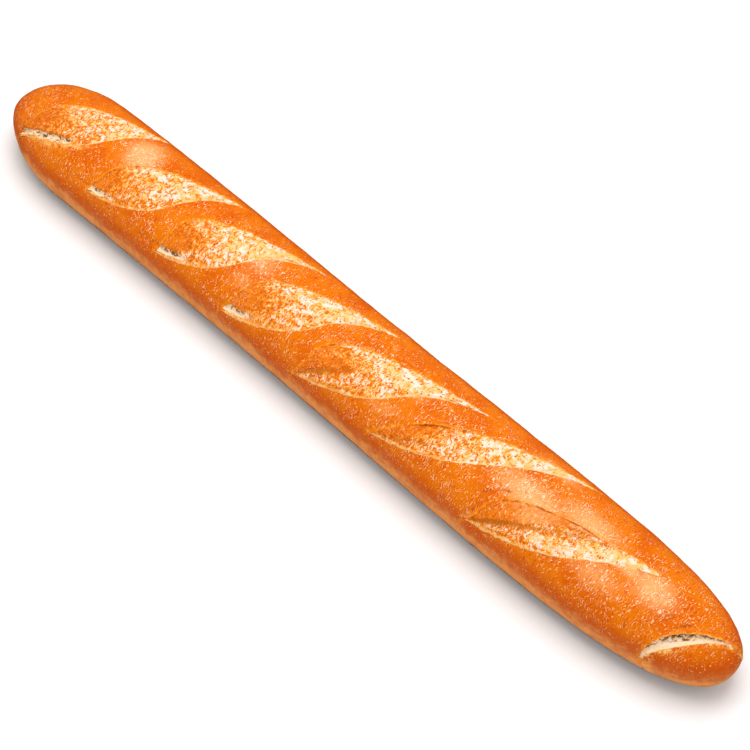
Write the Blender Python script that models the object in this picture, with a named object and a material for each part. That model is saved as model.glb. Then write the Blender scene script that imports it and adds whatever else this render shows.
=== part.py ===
"""A baguette: one closed solid that rests on its flat underside.

The loaf lies along X, its tapered nose at +X, and +Z is up. Eight slanting slashes cross its top from
the near shoulder (-Y) to the far side (+Y). Each has opened into a leaf shape with a raised upper lip,
swollen crumb and a lower rim. The solid is a sphere primitive whose rings are laid over the loaf side
by side with the slashes, so that every lip and rim runs along the mesh lines.
"""

from typing import NamedTuple

import bmesh
import bpy
import numpy as np

# Driving dimensions, in metres.
LENGTH = 0.580
WIDTH = 0.0703
HEIGHT = 0.0492
WIDEST_Z = 0.43 * HEIGHT  # height above the table at which the loaf is widest
WAIST = 0.03  # share of the width that is missing at the waist
WAIST_X = -0.012
WAIST_REACH = 0.100
BOW = -0.0045  # sideways swing of the centre line, to one side in each half
BELLY_SINK = 0.009  # how far the round belly would reach below the table: this makes the flat

# Exponents of the two superellipses of the cross-section, above and below the widest height.
TOP_ROUNDNESS = 2.3
BELLY_ROUNDNESS = 2.4

# Relief of a slash, in metres along the surface normal.
LIP_RISE = 0.0010  # the upper lip and the lower rim stand up by this much
RIM_RISE = 0.0003
LIP_REACH = 0.003  # their rise fades out over this distance
STEP = 0.0012  # drop from the smooth form to the crumb just inside each edge
STEP_WIDTH = 0.0012  # the drop takes this distance
TIP_GAP = 0.0025  # half opening of the mesh at a slash's tips
OUTER_GAP = 0.006  # what it gains past the tips
OUTER_REACH = 0.012
SLOPE_STEP = 0.0005  # slopes of the slashes' edges are taken over this distance

# Mesh: where the rings lie across a slash, and how many there are elsewhere.
ACROSS = (-1.0, -0.92, -0.7, -0.35, 0.0, 0.35, 0.7, 0.92, 1.0)
HEEL_RINGS = 11
NOSE_RINGS = 6
BRIDGE_PITCH = 0.018
TOP_SIDES = 30
BELLY_SIDES = 14
SIDES = TOP_SIDES + BELLY_SIDES

CRUST_COLOUR = (0.72, 0.27, 0.045, 1.0)
CRUST_ROUGHNESS = 0.45


class End(NamedTuple):
    """How one end of the loaf closes: over what length, how full its flank is, how blunt its tip is."""

    reach: float
    fullness: float
    bluntness: float


class Slash(NamedTuple):
    """One slash: its tips, the swing along X of its two edges and its middle, and its features' depth.

    The shapes are the exponents of leaf() for the upper lip and for the lower rim.
    """

    near: tuple
    far: tuple
    upper: float
    lower: float
    curl: float
    swell: float
    pocket: float
    tongue: float = 0.0
    upper_shape: tuple = (1.5, 1.0)
    lower_shape: tuple = (0.6, 2.6)


HEEL = End(reach=0.063, fullness=2.0, bluntness=2.0)
NOSE = End(reach=0.250, fullness=5.5, bluntness=2.3)

SLASHES = (
    Slash((-0.264, -0.027), (-0.184, 0.030), 0.030, 0.027, 0.006, swell=0.0024, pocket=0.0030),
    Slash((-0.196, -0.0295), (-0.111, 0.0255), 0.029, 0.028, 0.002, swell=0.0026, pocket=0.0026),
    Slash((-0.133, -0.031), (-0.040, 0.024), 0.034, 0.024, -0.003, swell=0.0030, pocket=0.0026),
    Slash((-0.074, -0.032), (0.026, 0.0215), 0.032, 0.028, -0.003, swell=0.0028, pocket=0.0022),
    Slash((-0.012, -0.033), (0.098, 0.0165), 0.040, 0.028, -0.002,
          swell=0.0026, pocket=0.0016, tongue=0.0006),
    Slash((0.050, -0.033), (0.175, 0.0255), 0.023, 0.026, 0.001,
          swell=0.0018, pocket=0.0016, tongue=0.0012),
    Slash((0.126, -0.0355), (0.234, 0.006), 0.041, 0.027, 0.006,
          swell=0.0014, pocket=0.0016, tongue=0.0022),
    Slash((0.2475, -0.0312), (0.2929, 0.012), 0.0046, 0.0032, -0.0048,
          swell=-0.0018, pocket=0.0, upper_shape=(1.0, 1.6), lower_shape=(1.0, 1.6)),
)


def ramp(t):
    """0 below t = 0, 1 above t = 1, smooth between."""
    t = np.clip(t, 0.0, 1.0)
    return t * t * (3.0 - 2.0 * t)


def bell(t):
    return np.exp(-t * t)


def closure(x):
    """Share of the full section at x. It falls to zero at both ends."""
    share = 1.0
    for distance, end in ((LENGTH / 2 + x, HEEL), (LENGTH / 2 - x, NOSE)):
        t = np.clip(distance / end.reach, 0.0, 1.0)
        share = share * (1.0 - (1.0 - t) ** end.fullness) ** (1.0 / end.bluntness)
    return share


def half_width(x):
    return WIDTH / 2 * closure(x) * (1.0 - WAIST * bell((x - WAIST_X) / WAIST_REACH))


def centre_line(x):
    u = 2 * x / LENGTH
    return BOW * u * (1.0 - u * u)


def is_inside(x, y):
    return np.abs(y - centre_line(x)) < half_width(x)


def arch(x, y, roundness):
    """1 over the centre line and 0 at the outline."""
    across = np.clip(np.abs(y - centre_line(x)) / np.maximum(half_width(x), 1e-6), 0.0, 1.0)
    return (1.0 - across**roundness) ** (1.0 / roundness)


def top_height(x, y):
    return WIDEST_Z + (HEIGHT - WIDEST_Z) * closure(x) * arch(x, y, TOP_ROUNDNESS)


def belly_height(x, y):
    depth = (WIDEST_Z + BELLY_SINK) * closure(x) * arch(x, y, BELLY_ROUNDNESS)
    return np.maximum(WIDEST_Z - depth, 0.0)


def along(slash, y):
    """Position along a slash: 0 at its near tip, 1 at its far tip."""
    return (y - slash.near[1]) / (slash.far[1] - slash.near[1])


def leaf(u, rise, fall):
    """A swing that is 0 at both tips and 1 at its widest, which lies at rise / (rise + fall)."""
    u = np.clip(u, 0.0, 1.0)
    widest = rise / (rise + fall)
    return (u / widest) ** rise * ((1.0 - u) / (1.0 - widest)) ** fall


def middle_line(slash, y):
    u = along(slash, y)
    return slash.near[0] + (slash.far[0] - slash.near[0]) * u + slash.curl * leaf(u, 2.0, 1.0)


def half_openings(slash, y):
    """Distances along X from the slash's middle line to its upper lip and to its lower rim."""
    u = along(slash, y)
    past_tips = np.maximum(slash.near[1] - y, y - slash.far[1])
    gap = TIP_GAP + OUTER_GAP * ramp(past_tips / OUTER_REACH)
    upper = np.hypot(slash.upper * leaf(u, *slash.upper_shape), gap)
    lower = np.hypot(slash.lower * leaf(u, *slash.lower_shape), gap)
    return upper, lower


def slash_line(slash, v):
    """The plan curve x(y) at v across the slash: -1 is its upper lip and 1 its lower rim."""

    def curve(y):
        upper, lower = half_openings(slash, y)
        return middle_line(slash, y) + v * (upper if v < 0 else lower)

    return curve


def distance_past(line, x, y):
    """Distance in plan from the curve to a point, positive to its +X side."""
    slope = (line(y + SLOPE_STEP) - line(y - SLOPE_STEP)) / (2 * SLOPE_STEP)
    return (x - line(y)) / np.hypot(1.0, slope)


def slash_relief(slash, x, y):
    """Height of the slash's features over the smooth form, in metres."""
    u = along(slash, y)
    offset = x - middle_line(slash, y)
    upper, lower = half_openings(slash, y)
    v = np.clip(np.where(offset < 0, offset / upper, offset / lower), -1.0, 1.0)
    past_lip = distance_past(slash_line(slash, -1.0), x, y)
    past_rim = distance_past(slash_line(slash, 1.0), x, y)
    inside = ramp(np.minimum(past_lip, -past_rim) / STEP_WIDTH)

    lip = LIP_RISE * bell(np.maximum(-past_lip, 0.0) / LIP_REACH) * (v < 0)
    rim = RIM_RISE * bell(np.maximum(past_rim, 0.0) / LIP_REACH) * (v > 0)
    swell = slash.swell * (1.0 - v * v) * bell((u - 0.5) / 0.4)
    pocket = slash.pocket * bell((u - 0.10) / 0.12) * bell((v - 0.55) / 0.35)
    tongue = slash.tongue * ramp((0.35 - v) / 0.35) * ramp(u / 0.15)
    relief = (1.0 - inside) * (lip + rim) + inside * (swell + tongue - pocket - STEP)
    return relief * ramp(u / 0.08) * ramp((1.0 - u) / 0.3)


def relief(x, y, z):
    """All slashes together. They fade out down the side wall, so that the flat stays flat."""
    return sum(slash_relief(slash, x, y) for slash in SLASHES) * ramp(z / WIDEST_Z)


def blend(first, second, share):
    return lambda y: (1.0 - share) * first(y) + share * second(y)


def tangent(slash, side):
    """The slash's middle line moved to -X or +X until it only touches the outline, and where it does."""
    x = np.tile(np.linspace(-LENGTH / 2, LENGTH / 2, 4001), 2)
    edge = np.repeat((-1.0, 1.0), len(x) // 2)
    y = centre_line(x) + edge * half_width(x)
    shift = side * (x - middle_line(slash, y))
    touch = int(np.argmax(shift))
    return (lambda y: middle_line(slash, y) + side * shift[touch]), (x[touch], y[touch], WIDEST_Z)


def cap_lines(slash, side, count):
    """Plan curves from the edge of an outermost slash to the end beyond it, and the pole there."""
    last, pole = tangent(slash, side)
    shares = 1.0 - (1.0 - np.arange(1, count + 1) / (count + 1)) ** 2
    return [blend(slash_line(slash, side), last, share) for share in shares], pole


def bridge_lines(slash, following):
    """Plan curves over the crust between two slashes."""
    count = round((following.near[0] - slash.near[0]) / BRIDGE_PITCH)
    shares = np.arange(1, count + 1) / (count + 1)
    return [blend(slash_line(slash, 1.0), slash_line(following, -1.0), share) for share in shares]


def ring_lines():
    """The plan curves of all rings from the heel to the nose, and the two poles."""
    heel_lines, heel_pole = cap_lines(SLASHES[0], -1.0, HEEL_RINGS)
    nose_lines, nose_pole = cap_lines(SLASHES[-1], 1.0, NOSE_RINGS)
    lines = heel_lines[::-1]
    for slash, following in zip(SLASHES, SLASHES[1:] + (None,)):
        lines += [slash_line(slash, v) for v in ACROSS]
        if following:
            lines += bridge_lines(slash, following)
    return lines + nose_lines, heel_pole, nose_pole


def outline_crossing(line, inner, outer):
    """The y between a point inside the outline and one outside it at which the plan curve leaves it."""
    for _ in range(30):
        middle = (inner + outer) / 2
        if is_inside(line(middle), middle):
            inner = middle
        else:
            outer = middle
    return inner


def ring_points(line):
    """The ring's points: over the top from the near side to the far side, and back below."""
    y = np.linspace(-WIDTH, WIDTH, 2001)
    inside = y[is_inside(line(y), y)]
    step = y[1] - y[0]
    near = outline_crossing(line, inside[0], inside[0] - step)
    far = outline_crossing(line, inside[-1], inside[-1] + step)

    turn = np.concatenate([np.arange(TOP_SIDES) / TOP_SIDES, 1.0 - np.arange(BELLY_SIDES) / BELLY_SIDES])
    y = (near + far) / 2 - (far - near) / 2 * np.cos(np.pi * turn)
    x = line(y)
    z = np.where(np.arange(SIDES) < TOP_SIDES, top_height(x, y), belly_height(x, y))
    return np.stack([x, y, z], axis=1)


def crust_material():
    material = bpy.data.materials.new("golden_crust")
    material.use_nodes = True
    shader = material.node_tree.nodes["Principled BSDF"]
    shader.inputs["Base Color"].default_value = CRUST_COLOUR
    shader.inputs["Roughness"].default_value = CRUST_ROUGHNESS
    shader.inputs["Metallic"].default_value = 0.0
    return material


def make_loaf(collection):
    lines, heel_pole, nose_pole = ring_lines()
    rings = [[heel_pole] * SIDES] + [ring_points(line) for line in lines] + [[nose_pole] * SIDES]

    shape = bmesh.new()
    bmesh.ops.create_uvsphere(shape, u_segments=SIDES, v_segments=len(lines) + 1, radius=1.0)
    for vertex in shape.verts:
        latitude = np.arccos(np.clip(-vertex.co.z, -1.0, 1.0)) / np.pi
        longitude = np.arctan2(vertex.co.y, vertex.co.x) / (2 * np.pi)
        vertex.co = rings[round(latitude * (len(rings) - 1))][round(longitude * SIDES) % SIDES]
    bmesh.ops.recalc_face_normals(shape, faces=shape.faces)
    shape.normal_update()
    normals = [vertex.normal.copy() for vertex in shape.verts]
    for vertex, normal in zip(shape.verts, normals):
        vertex.co += normal * float(relief(*vertex.co))

    mesh = bpy.data.meshes.new("loaf")
    shape.to_mesh(mesh)
    shape.free()
    mesh.shade_smooth()
    mesh.materials.append(crust_material())
    loaf = bpy.data.objects.new("loaf", mesh)
    collection.objects.link(loaf)


def main():
    for item in list(bpy.data.objects):
        bpy.data.objects.remove(item)
    baguette = bpy.data.collections.new("baguette")
    bpy.context.scene.collection.children.link(baguette)
    make_loaf(baguette)


main()
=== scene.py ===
"""The looks of a baguette, as an add-on that is run as a script.

The loaf is a sphere whose rings are laid side by side with its slashes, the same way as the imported
solid, but fine enough for lips, crumb and blisters. Its crust, crumb and shading come from one
procedural material, steered by values that the mesh carries at each vertex.
"""

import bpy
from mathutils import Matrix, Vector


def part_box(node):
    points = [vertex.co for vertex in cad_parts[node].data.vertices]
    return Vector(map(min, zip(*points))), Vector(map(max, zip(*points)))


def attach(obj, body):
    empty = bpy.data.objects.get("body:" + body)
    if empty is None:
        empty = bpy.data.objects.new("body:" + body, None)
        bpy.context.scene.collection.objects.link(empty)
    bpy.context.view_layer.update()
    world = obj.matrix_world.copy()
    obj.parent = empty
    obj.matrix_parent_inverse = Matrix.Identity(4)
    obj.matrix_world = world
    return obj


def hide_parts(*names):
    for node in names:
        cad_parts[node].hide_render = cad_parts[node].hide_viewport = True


bl_info = {
    "name": "Baguette",
    "version": (1, 0, 0),
    "blender": (4, 5, 0),
    "location": "3D Viewport > Sidebar > Baguette",
    "description": "Bakes a slashed baguette and lays it on a pale floor under soft light",
    "category": "Add Mesh",
}

import math
from collections import namedtuple
from typing import NamedTuple

import bpy
import numpy as np
from bpy.props import FloatProperty, FloatVectorProperty, PointerProperty
from mathutils import Vector, noise

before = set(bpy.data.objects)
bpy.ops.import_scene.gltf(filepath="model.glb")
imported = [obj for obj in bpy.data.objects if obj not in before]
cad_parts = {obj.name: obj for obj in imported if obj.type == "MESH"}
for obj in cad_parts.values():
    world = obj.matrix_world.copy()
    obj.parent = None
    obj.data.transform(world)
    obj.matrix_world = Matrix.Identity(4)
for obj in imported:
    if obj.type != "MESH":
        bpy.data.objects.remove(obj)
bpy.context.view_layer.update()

LOAF_LOW, LOAF_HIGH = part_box("loaf")
MM = 0.001

# Mesh: sides of each ring over the top and under the belly, and rings for each stretch.
TOP_SIDES = 132
BELLY_SIDES = 40
SIDES = TOP_SIDES + BELLY_SIDES
SLASH_RINGS = 45
BRIDGE_RINGS = 20
LAST_BRIDGE_RINGS = 38
HEEL_RINGS = 40
NOSE_RINGS = 22

# How finely the plan curves and the outline are sampled.
SLOPE_STEP = 0.5 * MM
OUTLINE_SAMPLES = 4001
WIDTH_SAMPLES = 1001
HALVINGS = 30

# Form: how square the top and the belly are, and the slight waist.
TOP_SQUARENESS = 2.3
BELLY_SQUARENESS = 2.4
WAIST_DEPTH = 0.03
WAIST_X = -0.012
WAIST_REACH = 0.1

# Relief: the sizes of the random swings, and the form of a wrinkle.
RAGGED_SIZE = 2.5 * MM
UNEVEN_SIZE = 7 * MM
WRINKLE_WIDTH = 0.75 * MM
WRINKLE_DEPTH = 0.7 * MM
WRINKLE_BEND = 30.0
GROUP_STEPS = 20

# Stage: where the large soft light hangs, its side, and the camera's sensor in millimetres.
KEY_FROM = (-0.05, 0.15, 1.0)
KEY_DISTANCE = 1.25
KEY_SIDE = 0.9
SENSOR_WIDTH = 36.0

# A wave texture of scale 1 has a stripe every pi / 10.
WAVE_PERIOD = math.pi / 10


class End(NamedTuple):
    """How one end of the loaf closes: over what length, how full its flank is, how blunt its tip is."""

    reach: float
    fullness: float
    bluntness: float


class Slash(NamedTuple):
    """One slash, from its near tip to its far tip in plan.

    The swings of its upper lip, its lower rim and its middle line along X are in metres. The reliefs
    swell, pocket and tongue are in millimetres. The ends of its features are shares of its length from
    the near tip. The tongue is a flap of browned skin, and its line gives its edge across the slash.
    """

    near: tuple
    far: tuple
    upper: float
    lower: float
    curl: float
    swell: float
    lip: float
    skin_end: float
    flecks: float
    pocket: float = 0.0
    pocket_end: float = 0.12
    tongue: float = 0.0
    tongue_line: tuple = (0.0, 0.0)
    tongue_end: float = 0.5
    lip_end: float = 0.8
    flaky: float = 0.0
    upper_shape: tuple = (1.5, 1.0)
    lower_shape: tuple = (0.6, 2.6)

    @property
    def is_sunken(self):
        return self.swell < 0


HEEL = End(reach=0.063, fullness=2.0, bluntness=2.0)
NOSE = End(reach=0.250, fullness=5.5, bluntness=2.3)

SLASHES = (
    Slash(
        near=(-0.264, -0.027), far=(-0.184, 0.030), upper=0.030, lower=0.027, curl=0.006, swell=1.7,
        lip=0.0, skin_end=0.26, flecks=0.61, pocket=1.9, pocket_end=0.24, flaky=1.0,
    ),
    Slash(
        near=(-0.196, -0.0295), far=(-0.111, 0.0255), upper=0.029, lower=0.028, curl=0.002, swell=1.9,
        lip=0.45, skin_end=0.20, flecks=0.58, pocket=1.3, pocket_end=0.11,
    ),
    Slash(
        near=(-0.133, -0.031), far=(-0.040, 0.024), upper=0.034, lower=0.024, curl=-0.003, swell=2.3,
        lip=0.40, skin_end=0.26, flecks=0.52, pocket=1.5, pocket_end=0.13,
    ),
    Slash(
        near=(-0.074, -0.032), far=(0.026, 0.0215), upper=0.032, lower=0.028, curl=-0.003, swell=2.1,
        lip=0.40, skin_end=0.26, flecks=0.57, pocket=1.4, pocket_end=0.12,
    ),
    Slash(
        near=(-0.012, -0.033), far=(0.098, 0.0165), upper=0.040, lower=0.028, curl=-0.002, swell=1.9,
        lip=0.50, skin_end=0.30, flecks=0.56, tongue=0.9, tongue_line=(0.08, -1.0), tongue_end=0.45,
    ),
    Slash(
        near=(0.050, -0.033), far=(0.175, 0.0255), upper=0.023, lower=0.026, curl=0.001, swell=1.3,
        lip=0.65, skin_end=0.24, flecks=0.50, tongue=0.8, tongue_line=(0.34, -0.5), tongue_end=0.34,
    ),
    Slash(
        near=(0.126, -0.0355), far=(0.234, 0.006), upper=0.041, lower=0.027, curl=0.006, swell=0.9,
        lip=0.85, skin_end=0.30, flecks=0.50, tongue=1.5, tongue_line=(0.12, -1.0), tongue_end=0.95,
        lip_end=0.98,
    ),
    Slash(
        near=(0.2475, -0.0312), far=(0.2929, 0.012), upper=0.0046, lower=0.0032, curl=-0.0048, swell=-1.6,
        lip=0.7, skin_end=-0.5, flecks=0.22, upper_shape=(1.0, 1.6), lower_shape=(1.0, 1.6),
    ),
)


class SheenSpot(NamedTuple):
    """Painted sheen, paler crust and whiter crumb: its middle, its reach each way, its strength."""

    x: float
    y: float
    along: float
    across: float
    strength: float


# Painted highlights: patches where the crust and crumb are painted paler to stand in for sheen.
SHEEN_SPOTS = (
    SheenSpot(-0.182, 0.008, 0.011, 0.012, 1.0),
    SheenSpot(-0.071, 0.001, 0.012, 0.010, 0.6),
    SheenSpot(0.000, -0.007, 0.008, 0.008, 0.2),
    SheenSpot(0.048, -0.021, 0.014, 0.006, 0.4),
    SheenSpot(0.150, -0.008, 0.022, 0.009, 0.9),
    SheenSpot(0.165, -0.018, 0.018, 0.007, 0.8),
    SheenSpot(0.185, 0.001, 0.020, 0.009, 0.8),
    SheenSpot(0.203, -0.018, 0.020, 0.008, 0.55),
    SheenSpot(0.234, -0.004, 0.013, 0.009, 0.9),
    SheenSpot(-0.071, -0.0154, 0.012, 0.006, 0.4),
    SheenSpot(0.165, -0.0136, 0.014, 0.004, 0.6),
    SheenSpot(-0.169, -0.0049, 0.006, 0.005, 0.4),
    SheenSpot(-0.151, -0.0030, 0.006, 0.004, 0.4),
    SheenSpot(-0.088, -0.0019, 0.006, 0.005, 0.7),
    SheenSpot(-0.029, -0.0058, 0.007, 0.004, 0.7),
    SheenSpot(-0.009, 0.0055, 0.009, 0.004, 0.7),
    SheenSpot(0.053, -0.0025, 0.012, 0.005, 0.7),
    SheenSpot(0.112, -0.0005, 0.007, 0.004, 0.5),
    SheenSpot(0.149, 0.0159, 0.014, 0.004, 0.7),
    SheenSpot(0.183, -0.0196, 0.012, 0.003, 0.6),
    SheenSpot(0.214, -0.0043, 0.012, 0.004, 0.9),
)


class Wrinkle(NamedTuple):
    """A short wrinkle of the crust, dark with painted shade: its middle, its reach along X, its slope,
    its strength.
    """

    x: float
    y: float
    reach: float
    slope: float
    strength: float


WRINKLES = (
    Wrinkle(0.1304, -0.0202, 0.0060, 0.52, 1.6),
    Wrinkle(0.1373, -0.0140, 0.0050, 0.51, 1.5),
    Wrinkle(0.1315, -0.0273, 0.0032, 0.71, 1.4),
    Wrinkle(0.2584, -0.0073, 0.0060, 1.33, 1.7),
    Wrinkle(0.2501, -0.0103, 0.0028, 1.53, 1.6),
)


# Sizes and colours that a user may change.


def length(name, description, default):
    return FloatProperty(name=name, description=description, default=default, unit="LENGTH", precision=5)


def angle(name, description, degrees):
    default = math.radians(degrees)
    return FloatProperty(name=name, description=description, default=default, subtype="ANGLE")


def colour(name, description, default):
    return FloatVectorProperty(
        name=name, description=description, default=default, size=3, subtype="COLOR", min=0, max=1
    )


class LoafSizes(bpy.types.PropertyGroup):
    """The loaf's form and the relief of its crust and slashes."""

    loaf_length: length("Length", "Length of the loaf", round(LOAF_HIGH.x - LOAF_LOW.x, 3))
    width: length("Width", "Width of the straight stretch", 0.0703)
    height: length("Height", "Height of the smooth crust over the table", 0.0492)
    widest: length("Widest at", "Height at which the loaf is widest", 0.0212)
    bow: length("Bow", "Sideways swing of the centre line", -0.0045)
    belly_sink: length("Belly sink", "Depth of the round belly below the table", 0.009)
    lip_rise: length("Lip rise", "How far an upper lip stands up", 0.0009)
    lip_lean: length("Lip lean", "How far an upper lip leans over the crumb", 0.0006)
    lip_reach: length("Lip reach", "Distance over which a lip's rise fades out", 0.0030)
    rim_rise: length("Rim rise", "How far a lower rim stands up", 0.0003)
    crease: length("Crease", "Depth of the line under an upper lip", 0.0006)
    step: length("Step", "Drop from the smooth form to the crumb", 0.0005)
    tip_gap: length("Tip gap", "Half opening of the rings at a slash's tips", 0.0012)
    outer_gap: length("Outer gap", "What the half opening gains past the tips", 0.006)


class CrustColours(bpy.types.PropertyGroup):
    """Colours of the baked crust and of the crumb in the slashes."""

    crown: colour("Crown", "Crust on top", (0.78, 0.175, 0.002))
    crown_deep: colour("Crown, deep", "Darker patches on top", (0.70, 0.119, 0.001))
    # Painted highlight: the paler colour of the sheen patches.
    thin: colour("Thin crust", "Paler, sheeny patches of the crust", (0.95, 0.44, 0.165))
    # Partly the crust's darker baking, partly painted shade where the top turns down to the sides.
    shoulder_and_shade: colour("Shoulder", "Crust where the top turns into the wall", (0.59, 0.085, 0.001))
    wall: colour("Wall", "Paler crust low on the side", (0.80, 0.31, 0.10))
    wall_deep: colour("Wall, deep", "Browner patches low on the side", (0.60, 0.15, 0.035))
    # Partly the baked underside, partly a painted shadow line along the bottom edge by the floor.
    belly: colour("Belly", "Baked underside", (0.16, 0.045, 0.008))
    vein: colour("Veins", "Fine pale strokes in the crust", (0.96, 0.33, 0.05))
    # Painted highlight: tiny glints of light on the crust.
    painted_glint: colour("Glints", "Tiny pale dots in the crust", (1.0, 0.74, 0.48))
    speck: colour("Specks", "Small dark spots in the crust", (0.60, 0.07, 0.001))
    crumb: colour("Crumb", "Pale crumb in the slashes", (1.0, 0.74, 0.58))
    crumb_warm: colour("Crumb, warm", "Yellower patches of the crumb", (1.0, 0.52, 0.15))
    golden: colour("Golden", "Lightly browned skin on the crumb", (0.90, 0.28, 0.012))
    fleck: colour("Flecks", "Browned skin on the crumb", (0.76, 0.16, 0.006))
    fleck_deep: colour("Flecks, deep", "Darkest browned skin", (0.50, 0.085, 0.002))
    pocket: colour("Pocket", "Pale crumb in the open pockets", (0.97, 0.73, 0.47))
    # Partly small holes, partly painted shade where they gather on the overhung upper side of a pocket.
    pit: colour("Pits", "Small holes in the crumb", (0.26, 0.12, 0.020))
    # Painted shade: the dark line in the crease under an upper lip and in the wrinkles.
    crease: colour("Crease", "Line under an upper lip", (0.52, 0.09, 0.003))
    foot: colour("Foot", "Shaded crumb under the edge of a browned tongue", (0.50, 0.17, 0.012))
    # Along the lower rims this colour also paints a highlight where the edge catches the light.
    rim: colour("Rim", "Thin edge of the crust below a slash", (1.0, 0.60, 0.22))
    halo: colour("Halo", "Thin golden crust beside a slash", (0.97, 0.33, 0.010))


class StageSizes(bpy.types.PropertyGroup):
    """Camera, light and floor."""

    azimuth: angle("Azimuth", "Camera's turn about the loaf", 44.5)
    elevation: angle("Elevation", "Camera's height over the floor", 55)
    distance: length("Distance", "From the camera to the point it looks at", 1.25)
    aim: FloatVectorProperty(
        name="Aim", description="Point the camera looks at", default=(0.021, 0.0017, 0.025), subtype="XYZ"
    )
    lens: FloatProperty(name="Lens", description="Focal length in millimetres", default=103.75)
    floor_size: length("Floor", "Side of the square floor", 8.0)
    floor_colour: colour("Floor colour", "Pale floor", (0.94, 0.94, 0.94))
    key_power: FloatProperty(name="Key light", description="Watts of the large soft light", default=10.2)
    sky: FloatProperty(name="Sky", description="Brightness of the even light all round", default=0.75)


# The loaf's form.


def ramp(t):
    """0 below t = 0, 1 above t = 1, smooth between."""
    t = np.clip(t, 0.0, 1.0)
    return t * t * (3.0 - 2.0 * t)


def bell(t):
    """1 at t = 0, and next to nothing beyond 2 on either side."""
    return np.exp(-t * t)


def closure(x, sizes):
    """Share of the full section at x. It falls to zero at both ends."""
    section = 1.0
    half = sizes.loaf_length / 2
    for distance, end in ((half + x, HEEL), (half - x, NOSE)):
        t = np.clip(distance / end.reach, 0.0, 1.0)
        section = section * (1.0 - (1.0 - t) ** end.fullness) ** (1.0 / end.bluntness)
    return section


def half_width(x, sizes):
    waist = WAIST_DEPTH * bell((x - WAIST_X) / WAIST_REACH)
    return sizes.width / 2 * closure(x, sizes) * (1.0 - waist)


def centre_line(x, sizes):
    u = 2 * x / sizes.loaf_length
    return sizes.bow * u * (1.0 - u * u)


def is_inside(x, y, sizes):
    return np.abs(y - centre_line(x, sizes)) < half_width(x, sizes)


def arch(x, y, squareness, sizes):
    """1 over the centre line and 0 at the outline."""
    across = np.abs(y - centre_line(x, sizes)) / np.maximum(half_width(x, sizes), 1e-6)
    return (1.0 - np.clip(across, 0.0, 1.0) ** squareness) ** (1.0 / squareness)


def top_height(x, y, sizes):
    over_widest = (sizes.height - sizes.widest) * closure(x, sizes) * arch(x, y, TOP_SQUARENESS, sizes)
    return sizes.widest + over_widest


def belly_height(x, y, sizes):
    """Height of the underside: the belly is round, but the table flattens it."""
    depth = (sizes.widest + sizes.belly_sink) * closure(x, sizes) * arch(x, y, BELLY_SQUARENESS, sizes)
    return np.maximum(sizes.widest - depth, 0.0)


# The slashes' plan.


def along(slash, y):
    """Position along a slash: 0 at its near tip, 1 at its far tip."""
    return (y - slash.near[1]) / (slash.far[1] - slash.near[1])


def leaf(u, rise, fall):
    """A swing that is 0 at both tips and 1 at its widest, which lies at rise / (rise + fall)."""
    u = np.clip(u, 0.0, 1.0)
    widest = rise / (rise + fall)
    return (u / widest) ** rise * ((1.0 - u) / (1.0 - widest)) ** fall


def middle_line(slash, y):
    """The plan curve x(y) that the slash's lip and rim swing away from."""
    u = along(slash, y)
    return slash.near[0] + (slash.far[0] - slash.near[0]) * u + slash.curl * leaf(u, 2.0, 1.0)


def swings(slash, y):
    """Distances along X from the slash's middle line to its upper lip and to its lower rim."""
    u = along(slash, y)
    return slash.upper * leaf(u, *slash.upper_shape), slash.lower * leaf(u, *slash.lower_shape)


def half_openings(slash, y, sizes):
    """The swings, kept open at the tips and beyond so that the rings there stay apart."""
    past_tips = np.maximum(slash.near[1] - y, y - slash.far[1])
    gap = sizes.tip_gap + sizes.outer_gap * ramp(past_tips / (12 * MM))
    upper, lower = swings(slash, y)
    return np.hypot(upper, gap), np.hypot(lower, gap)


def slash_line(slash, v, sizes):
    """The plan curve x(y) at v across the slash: -1 is its upper lip and 1 its lower rim."""

    def curve(y):
        upper, lower = half_openings(slash, y, sizes)
        return middle_line(slash, y) + v * (upper if v < 0 else lower)

    return curve


# The rings.


def blend(first, second, part):
    """The plan curve that lies this part of the way from the first to the second."""
    return lambda y: (1.0 - part) * first(y) + part * second(y)


def tangent(slash, side, sizes):
    """The slash's middle line moved to -X or +X until it only touches the outline, and where it does."""
    half = sizes.loaf_length / 2
    x = np.tile(np.linspace(-half, half, OUTLINE_SAMPLES), 2)
    edge = np.repeat((-1.0, 1.0), len(x) // 2)
    y = centre_line(x, sizes) + edge * half_width(x, sizes)
    shift = side * (x - middle_line(slash, y))
    touch = int(np.argmax(shift))
    return (lambda y: middle_line(slash, y) + side * shift[touch]), (x[touch], y[touch], sizes.widest)


def cap_lines(slash, side, count, sizes):
    """Plan curves from the edge of an outermost slash to the end beyond it, and the pole there."""
    edge = slash_line(slash, side, sizes)
    last, pole = tangent(slash, side, sizes)
    parts = 1.0 - (1.0 - np.arange(1, count + 1) / (count + 1)) ** 2
    return [blend(edge, last, part) for part in parts], pole


def ring_lines(sizes):
    """The plan curves of all rings from the heel to the nose, and the two poles."""
    heel_lines, heel_pole = cap_lines(SLASHES[0], -1.0, HEEL_RINGS, sizes)
    nose_lines, nose_pole = cap_lines(SLASHES[-1], 1.0, NOSE_RINGS, sizes)
    even = np.linspace(-1.0, 1.0, SLASH_RINGS)
    across = 0.45 * even + 0.55 * np.sin(even * np.pi / 2)
    lines = heel_lines[::-1]
    for slash, following in zip(SLASHES, SLASHES[1:] + (None,)):
        lines += [slash_line(slash, v, sizes) for v in across]
        if following:
            count = LAST_BRIDGE_RINGS if following is SLASHES[-1] else BRIDGE_RINGS
            rim, lip = slash_line(slash, 1.0, sizes), slash_line(following, -1.0, sizes)
            lines += [blend(rim, lip, part) for part in np.arange(1, count + 1) / (count + 1)]
    return lines + nose_lines, heel_pole, nose_pole


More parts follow.
